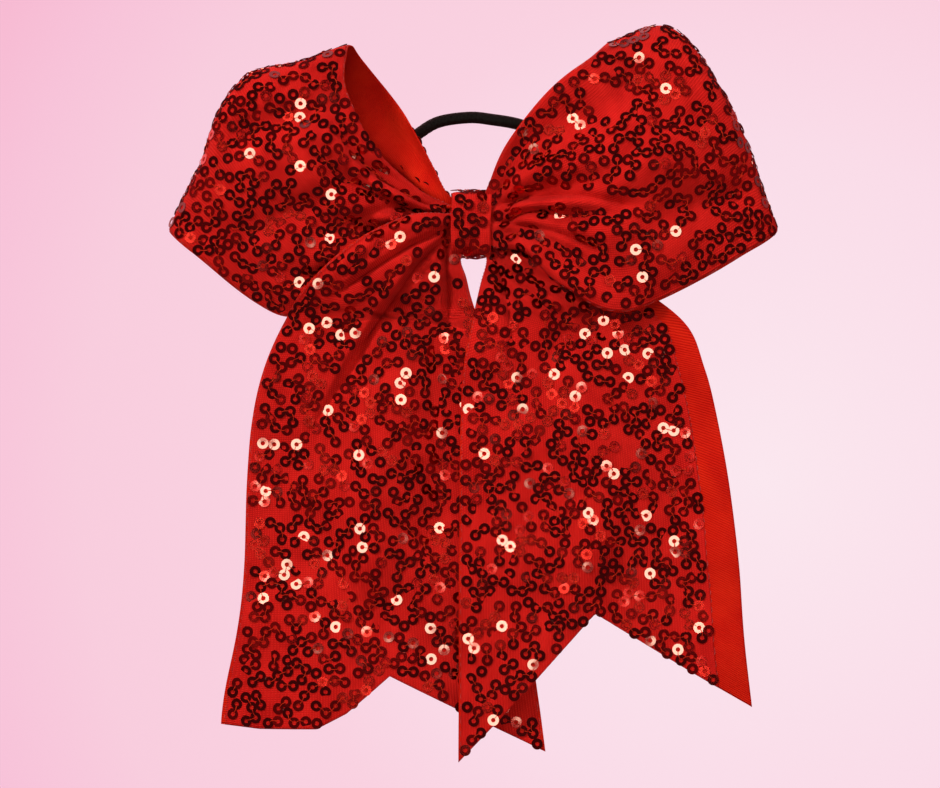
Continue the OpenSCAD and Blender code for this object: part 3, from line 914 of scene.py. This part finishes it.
def next_link(surface, crowd, rng, margin_mm, link_before, angle):
    """A free place one step on from a chain's last sequin and the way there, or None."""
    i, j, p = link_before
    for _ in range(STEP_TRIES):
        turn = angle + rng.choice((-1, 1)) * rng.uniform(TURN_LOW, TURN_HIGH)
        i2, j2 = surface.walk(i, j, turn, rng.uniform(STEP_LOW, STEP_HIGH))
        if not surface.inside(i2, j2) or not surface.room(i2, j2, margin_mm):
            continue
        q = surface.at(surface.g, i2, j2)
        if crowd.free(q, allow=p):
            return (i2, j2, q), turn
    return None


def scatter_chains(surface, rng, clear, margin_mm=1.0):
    """Chains of sequins that wander over the surface without lying on each other."""
    crowd = Crowd(clear)
    chains = []
    failures = 0
    while failures < START_TRIES:
        i = rng.uniform(1, surface.rows - 2)
        j = rng.uniform(1, surface.columns - 2)
        p = surface.at(surface.g, i, j)
        bare = noise.noise(Vector(p / PATCH)) > BARE_ABOVE
        if bare or not surface.room(i, j, margin_mm) or not crowd.free(p):
            failures += 1
            continue
        failures = 0
        angle = rng.uniform(0, 2 * math.pi)
        chain = [(i, j, p)]
        crowd.keep(p)
        for _ in range(rng.randint(1, MOST_LINKS)):
            found = next_link(surface, crowd, rng, margin_mm, chain[-1], angle)
            if found is None:
                break
            place_found, angle = found
            crowd.keep(place_found[2])
            chain.append(place_found)
        chains.append(chain)
    return chains


TEMPLATE_V, TEMPLATE_F = sequin_template()
SEQUIN_LIFT = 0.52
LIFT_LOW, LIFT_HIGH = -0.06, 0.12
TILT = 0.09
# Painted reflection: each sequin takes the dark, mid or bright film, with like ones in soft patches of this
# size; the limits split the picks.
PAINTED_REFLECTION_PATCH = 11.0
PAINTED_REFLECTION_LIMITS = (0.5, 0.95)


def tilted(n, rng):
    """A normal turned a little at random."""
    tilt = np.array([rng.gauss(0, TILT), rng.gauss(0, TILT), rng.gauss(0, TILT)])
    m = n + tilt - n * (tilt @ n)
    return m / np.linalg.norm(m)


def spun_axes(m, rng):
    """The three axes of a sequin that faces along m, spun about it at random."""
    helper = np.array([0.0, 0.0, 1.0]) if abs(m[2]) < NEARLY_UPRIGHT else np.array([1.0, 0.0, 0.0])
    a = np.cross(helper, m)
    a /= np.linalg.norm(a)
    b = np.cross(m, a)
    spin = rng.uniform(0, 2 * math.pi)
    c, s = math.cos(spin), math.sin(spin)
    return np.stack([c * a + s * b, c * b - s * a, m])


def painted_reflection_at(p, painted_brightening, rng):
    """Which of the three sequin materials to use at p: a painted reflection, dark, mid or bright, for how
    much light the sequin catches; like shades come in soft patches.
    """
    pick = rng.random() + painted_brightening + 0.9 * noise.noise(Vector(p / PAINTED_REFLECTION_PATCH) + Vector((40, 0, 0)))
    return sum(pick >= limit for limit in PAINTED_REFLECTION_LIMITS)


def lay_sequins(name, surface, chains, rng, painted_brightening=0.0):
    """The sequins of one limb as one mesh, and the thread through them as another."""
    vertices, faces, shades = [], [], []
    thread_v, thread_f = [], []
    for chain in chains:
        centres = []
        for i, j, p in chain:
            n = surface.at(surface.n, i, j)
            n = n / np.linalg.norm(n)
            m = tilted(n, rng)
            centre = p + n * (SEQUIN_LIFT + rng.uniform(LIFT_LOW, LIFT_HIGH))
            faces.append(TEMPLATE_F + len(vertices) * len(TEMPLATE_V))
            vertices.append(centre + TEMPLATE_V @ spun_axes(m, rng))
            # Painted reflection: the sequin's film is the dark, mid or bright copy.
            shades.append(painted_reflection_at(p, painted_brightening, rng))
            centres.append((centre, m))
        if len(centres) > 1:
            add_part(thread_v, thread_f, thread_through(centres, rng))
    painted_reflection_of_face = np.repeat(shades, len(TEMPLATE_F)).astype(np.int32)
    obj = new_object(name + "_sequins", np.concatenate(vertices), np.concatenate(faces).tolist(),
                     SEQUIN_PAINTED_REFLECTIONS, False, painted_reflection_of_face)
    thread = new_object(name + "_thread", thread_v, thread_f, [THREAD])
    return obj, thread


THREAD_R = 0.09
THREAD_SIDES = 5
THREAD_SAG = 0.45
DIVE, RISE = 0.25, 0.2
NEARER, FARTHER = 0.62, 0.38


def thread_through(centres, rng):
    """Thread that dives into each hole and rises over the edge between neighbours."""
    points = []
    for (p, m), (q, k) in zip(centres, centres[1:]):
        sag = THREAD_SAG * np.cross(m, q - p) / np.linalg.norm(q - p) * rng.uniform(-1, 1)
        points.append(p - DIVE * m)
        points.append(p * NEARER + q * FARTHER + RISE * m + sag)
        points.append(p * FARTHER + q * NEARER + RISE * k + sag)
    points.append(centres[-1][0] - DIVE * centres[-1][1])
    return tube(spline(points, np.linspace(0, len(points) - 1, 3 * len(points))), THREAD_R, THREAD_SIDES)


# ---------------- the limbs

GATHERED_ROWS = 14
WHIP_R = 0.07
WHIP_TURN = 1.9
WHIP_SIDEWAYS, WHIP_OUTWARDS = 0.2, 0.1
WHIP_SAMPLES = 4
WHIP_LIFT = 0.2


def nodes_of(limb, layer):
    """The CAD nodes of one layer of a limb; a tail's fixed top is a node of its own."""
    if "loop" in limb.name:
        return [limb.name + "_" + layer]
    return [limb.name + "_" + layer, limb.name + "_top_" + layer]


def build_edge_thread(limb):
    """A pale thread that whips over each selvage of the sequin mesh."""
    g = limb.grid[:, net_columns(limb)]
    n = limb.normals[:, net_columns(limb)]
    vertices, faces = [], []
    for column in (0, -1):
        line = g[:, column] + WHIP_LIFT * n[:, column]
        inward = g[:, 2 if column == 0 else -3] - g[:, column]
        inward /= np.linalg.norm(inward, axis=1, keepdims=True)
        s = np.linspace(0, len(line) - 1, WHIP_SAMPLES * len(line))
        turn = s * WHIP_TURN + 1.5 * np.sin(s / 5) + 0.8 * np.sin(s / 2.3)
        sideways = WHIP_SIDEWAYS * np.sin(turn)[:, None] * spline(inward, s)
        outwards = WHIP_OUTWARDS * np.cos(turn)[:, None] * spline(n[:, column], s)
        add_part(vertices, faces, tube(spline(line, s) + sideways + outwards, WHIP_R, THREAD_SIDES))
    thread = new_object(limb.name + "_edge_thread", vertices, faces, [EDGE_THREAD])
    limb.bend(thread)
    return thread


def build_limb(limb, rng):
    satin = build_ribbon(limb, nodes_of(limb, "ribbon"))
    net = build_net(limb, nodes_of(limb, "sequin_mesh"))
    edge = build_edge_thread(limb)
    last = -GATHERED_ROWS if "loop" in limb.name else None
    part = (slice(GATHERED_ROWS, last), net_columns(limb))
    surface = Surface(limb.grid[part], limb.normals[part], limb.level[part])
    chains = scatter_chains(surface, rng, CLEAR)
    sequins, thread = lay_sequins(limb.name, surface, chains, rng)
    limb.bend(sequins)
    limb.bend(thread)


for number, limb in enumerate(LIMBS):
    build_limb(limb, random.Random(SEED + number))

# ---------------- knot

BAND_FRONT_Y, BAND_REAR_Y = -7.0, 9.0
BAND_AROUND, BAND_COLUMNS = 160, 41
BAND_SQUARENESS = 4
BAND_HALF_SHARE = 0.455
BAND_INSET, BAND_PUFF, BAND_RIDGE, BAND_WANDER = 0.7, 0.3, 0.16, 0.15
WRAP_BACK, WRAP_FRONT = -0.5, 0.05
# The knot's sequins lean towards the brighter painted reflections.
WRAP_CLEAR, WRAP_MARGIN, WRAP_PAINTED_BRIGHTENING = 2.4, 1.2, 0.3


def band_grid():
    """The band round the knot, pinched a little at its edges, as a grid round by across."""
    half = (BAND_REAR_Y - BAND_FRONT_Y) / 2
    middle = (BAND_FRONT_Y + BAND_REAR_Y) / 2
    g = np.zeros((BAND_AROUND, BAND_COLUMNS, 3))
    for i in range(BAND_AROUND):
        a = 2 * math.pi * i / BAND_AROUND
        c, s = math.cos(a), math.sin(a)
        k = (abs(c) ** BAND_SQUARENESS + abs(s) ** BAND_SQUARENESS) ** (-1 / BAND_SQUARENESS)
        wander = BAND_WANDER * math.sin(a * 3 + 1.0)
        for j in range(BAND_COLUMNS):
            w = 2 * j / (BAND_COLUMNS - 1) - 1
            ridge = BAND_RIDGE * math.cos(w * 7 + 1.5 * math.sin(a * 2))
            puff = BAND_PUFF * (1 - w**4) - BAND_INSET + ridge
            x = w * BAND_W * BAND_HALF_SHARE + wander
            g[i, j] = (x, middle + (half + puff) * k * c, (BAND_H / 2 + puff) * k * s)
    return g


def build_band(rng):
    g = band_grid()
    g = np.concatenate([g, g[:1]])
    n = np.cross(np.gradient(g, axis=0), np.gradient(g, axis=1))
    n /= np.linalg.norm(n, axis=2, keepdims=True)
    flat = flat_lengths(g)
    flat[..., 0] *= BAND_W / RIBBON_MM
    band = closed_sheet("knot_wrap", g, n, WRAP_BACK, WRAP_FRONT, NET, flat)
    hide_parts("knot_band")
    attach(band, "knot")
    surface = Surface(g, n, np.ones(g.shape[:2]))
    chains = scatter_chains(surface, rng, WRAP_CLEAR, WRAP_MARGIN)
    sequins, thread = lay_sequins("wrap", surface, chains, rng, WRAP_PAINTED_BRIGHTENING)
    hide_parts("knot_sequins")
    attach(sequins, "knot")
    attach(thread, "knot")


build_band(random.Random(SEED + 20))


BUNDLE_HALF, BUNDLE_ROWS = 6.4, 27
BUNDLE_Y, BUNDLE_DEPTH, BUNDLE_HEIGHT = -1.1, 2.6, 5.6
BUNDLE_PLEATS, BUNDLE_SKEW = 5.5, 0.15
BUNDLE_CLOTH = 0.15
PINCH, PINCH_HALF = 0.72, 3.0


def build_bundle():
    """The pleats of the ribbon where it is gathered under the band, pinched by the tie."""
    v = np.linspace(0, 1, ACROSS)
    rows = np.linspace(-BUNDLE_HALF, BUNDLE_HALF, BUNDLE_ROWS)
    g = np.zeros((BUNDLE_ROWS, ACROSS, 3))
    for i, x in enumerate(rows):
        pinch = PINCH + (1 - PINCH) * fade(abs(x) / PINCH_HALF)
        g[i, :, 0] = x
        wave = np.sin(2 * math.pi * BUNDLE_PLEATS * v + BUNDLE_SKEW * x)
        g[i, :, 1] = BUNDLE_Y + BUNDLE_DEPTH * pinch * wave
        g[i, :, 2] = BUNDLE_HEIGHT * pinch * (2 * v - 1)
    n = grid_normals(g)
    flat = np.stack(np.broadcast_arrays(RIBBON_MM * v[None, :], rows[:, None]), 2).astype(float)
    bundle = closed_sheet("pleat_bundle", g, n, -BUNDLE_CLOTH, BUNDLE_CLOTH, SATIN, flat)
    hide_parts("gathered_ribbon")
    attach(bundle, "knot")


build_bundle()


def paint_cad():
    looks = {
        "zip_tie": NYLON,
        "glue_front": GLUE,
        "glue_rear": GLUE,
        "elastic_core": RUBBER,
        "elastic_joint": METAL,
    }
    for node, material in looks.items():
        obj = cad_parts[node]
        obj.data.materials.clear()
        obj.data.materials.append(material)


paint_cad()

# ---------------- stage and light

BACKDROP_CENTRE = (0.33, 0.0, -0.14)
BACKDROP_REACH = 1.03
DOME_R = 3.0
FLOOR_R, FLOOR_Z = 1.35, -0.32


def backdrop_material():
    """A soft pink glow, palest to the right of the bow's middle."""
    material = bpy.data.materials.new("backdrop_pink")
    material.use_nodes = True
    tree = material.node_tree
    tree.nodes.clear()
    flatten = tree.nodes.new("ShaderNodeVectorMath")
    flatten.operation = "MULTIPLY"
    flatten.inputs[1].default_value = (1, 0, 1)
    link(tree, object_coordinates(tree), flatten.inputs[0])
    away = tree.nodes.new("ShaderNodeVectorMath")
    away.operation = "DISTANCE"
    away.inputs[1].default_value = BACKDROP_CENTRE
    link(tree, flatten.outputs[0], away.inputs[0])
    share = add_maths(tree, "DIVIDE", away.outputs["Value"], BACKDROP_REACH)
    colour = ramp(tree, share, [
        (0.0, (0.965, 0.799, 0.863)),
        (0.37, (0.956, 0.716, 0.812)),
        (0.55, (0.952, 0.642, 0.752)),
        (0.75, (0.943, 0.610, 0.730)),
        (0.88, (0.935, 0.546, 0.696)),
        (1.0, (0.930, 0.479, 0.638)),
    ])
    glow = tree.nodes.new("ShaderNodeEmission")
    link(tree, colour, glow.inputs["Color"])
    out = tree.nodes.new("ShaderNodeOutputMaterial")
    link(tree, glow.outputs[0], out.inputs["Surface"])
    return material


def camera_only(obj):
    for ray in ("glossy", "diffuse", "transmission", "shadow", "volume_scatter"):
        setattr(obj, "visible_" + ray, False)


def add_backdrop():
    bpy.ops.mesh.primitive_uv_sphere_add(segments=64, ring_count=32, radius=DOME_R, location=(0, 0, 0))
    dome = bpy.context.object
    dome.name = "backdrop"
    dome.data.materials.append(backdrop_material())
    camera_only(dome)


def add_floor():
    """A pale floor below the camera's view, seen only when the camera looks down."""
    bpy.ops.mesh.primitive_circle_add(vertices=96, radius=FLOOR_R, fill_type="NGON",
                                      location=(0, 0, FLOOR_Z))
    floor = bpy.context.object
    floor.name = "floor"
    floor.data.materials.append(plain_material("pale_floor", (0.93, 0.82, 0.94), 0.75, 3.0, 0.0002, 0.97))
    camera_only(floor)


def add_light(name, where, size, power, colour, mirrored, shape="SQUARE"):
    """A lamp aimed at the middle of the bow; mirrored says whether shiny surfaces reflect it."""
    data = bpy.data.lights.new(name, "AREA")
    data.shape = shape
    data.size = size
    data.energy = power
    data.color = colour
    obj = bpy.data.objects.new(name, data)
    bpy.context.scene.collection.objects.link(obj)
    obj.location = where
    obj.rotation_euler = (LAMP_AIM - Vector(where)).to_track_quat("-Z", "Y").to_euler()
    obj.visible_glossy = mirrored


LAMP_AIM = Vector((0, 0, -0.04))
WARM = (1.0, 0.94, 0.82)
ROSE = (1.0, 0.42, 0.45)
CREAM = (0.88, 1.0, 0.72)
# The x and z of the small lamps that glint in the sequins.
GLINT_LAMPS = [
    (0.17, 0.1), (-0.24, 0.2), (-0.08, -0.3), (0.42, -0.1), (-0.45, 0.5),
    (0.22, -0.42), (0.0, 0.6), (-0.62, 0.1), (0.6, 0.4), (-0.8, 0.28),
]


def add_lights():
    add_light("key", (-0.62, -0.72, 0.56), 0.15, 7.5, WARM, False)
    add_light("front", (0.4, -1.35, 0.5), 1.0, 1.2, WARM, False)
    add_light("fill", (1.2, -1.1, 0.1), 1.0, 2.6, WARM, False)
    add_light("top", (0.25, -0.45, 1.1), 1.0, 6, WARM, False)
    add_light("rear", (-0.5, 1.4, 0.8), 1.2, 18, WARM, False)
    add_light("rim_top", (-0.1, 0.45, 1.0), 0.8, 2.2, ROSE, True)
    add_light("rim_left", (-1.1, 0.6, 0.15), 0.8, 2.2, ROSE, True)
    add_light("rim_right", (1.1, 0.6, 0.15), 0.8, 0.8, ROSE, True)
    for number, (x, z) in enumerate(GLINT_LAMPS):
        add_light("glint_%d" % number, (x, -1.0, z), 0.13, 0.45, CREAM, True, "DISK")


def set_world():
    world = bpy.data.worlds.new("world")
    world.use_nodes = True
    background = world.node_tree.nodes["Background"]
    background.inputs["Color"].default_value = (0.17, 0.025, 0.028, 1)
    bpy.context.scene.world = world


add_backdrop()
add_floor()
add_lights()
set_world()
bpy.context.scene.view_settings.view_transform = "Standard"
bpy.context.scene.view_settings.look = "None"
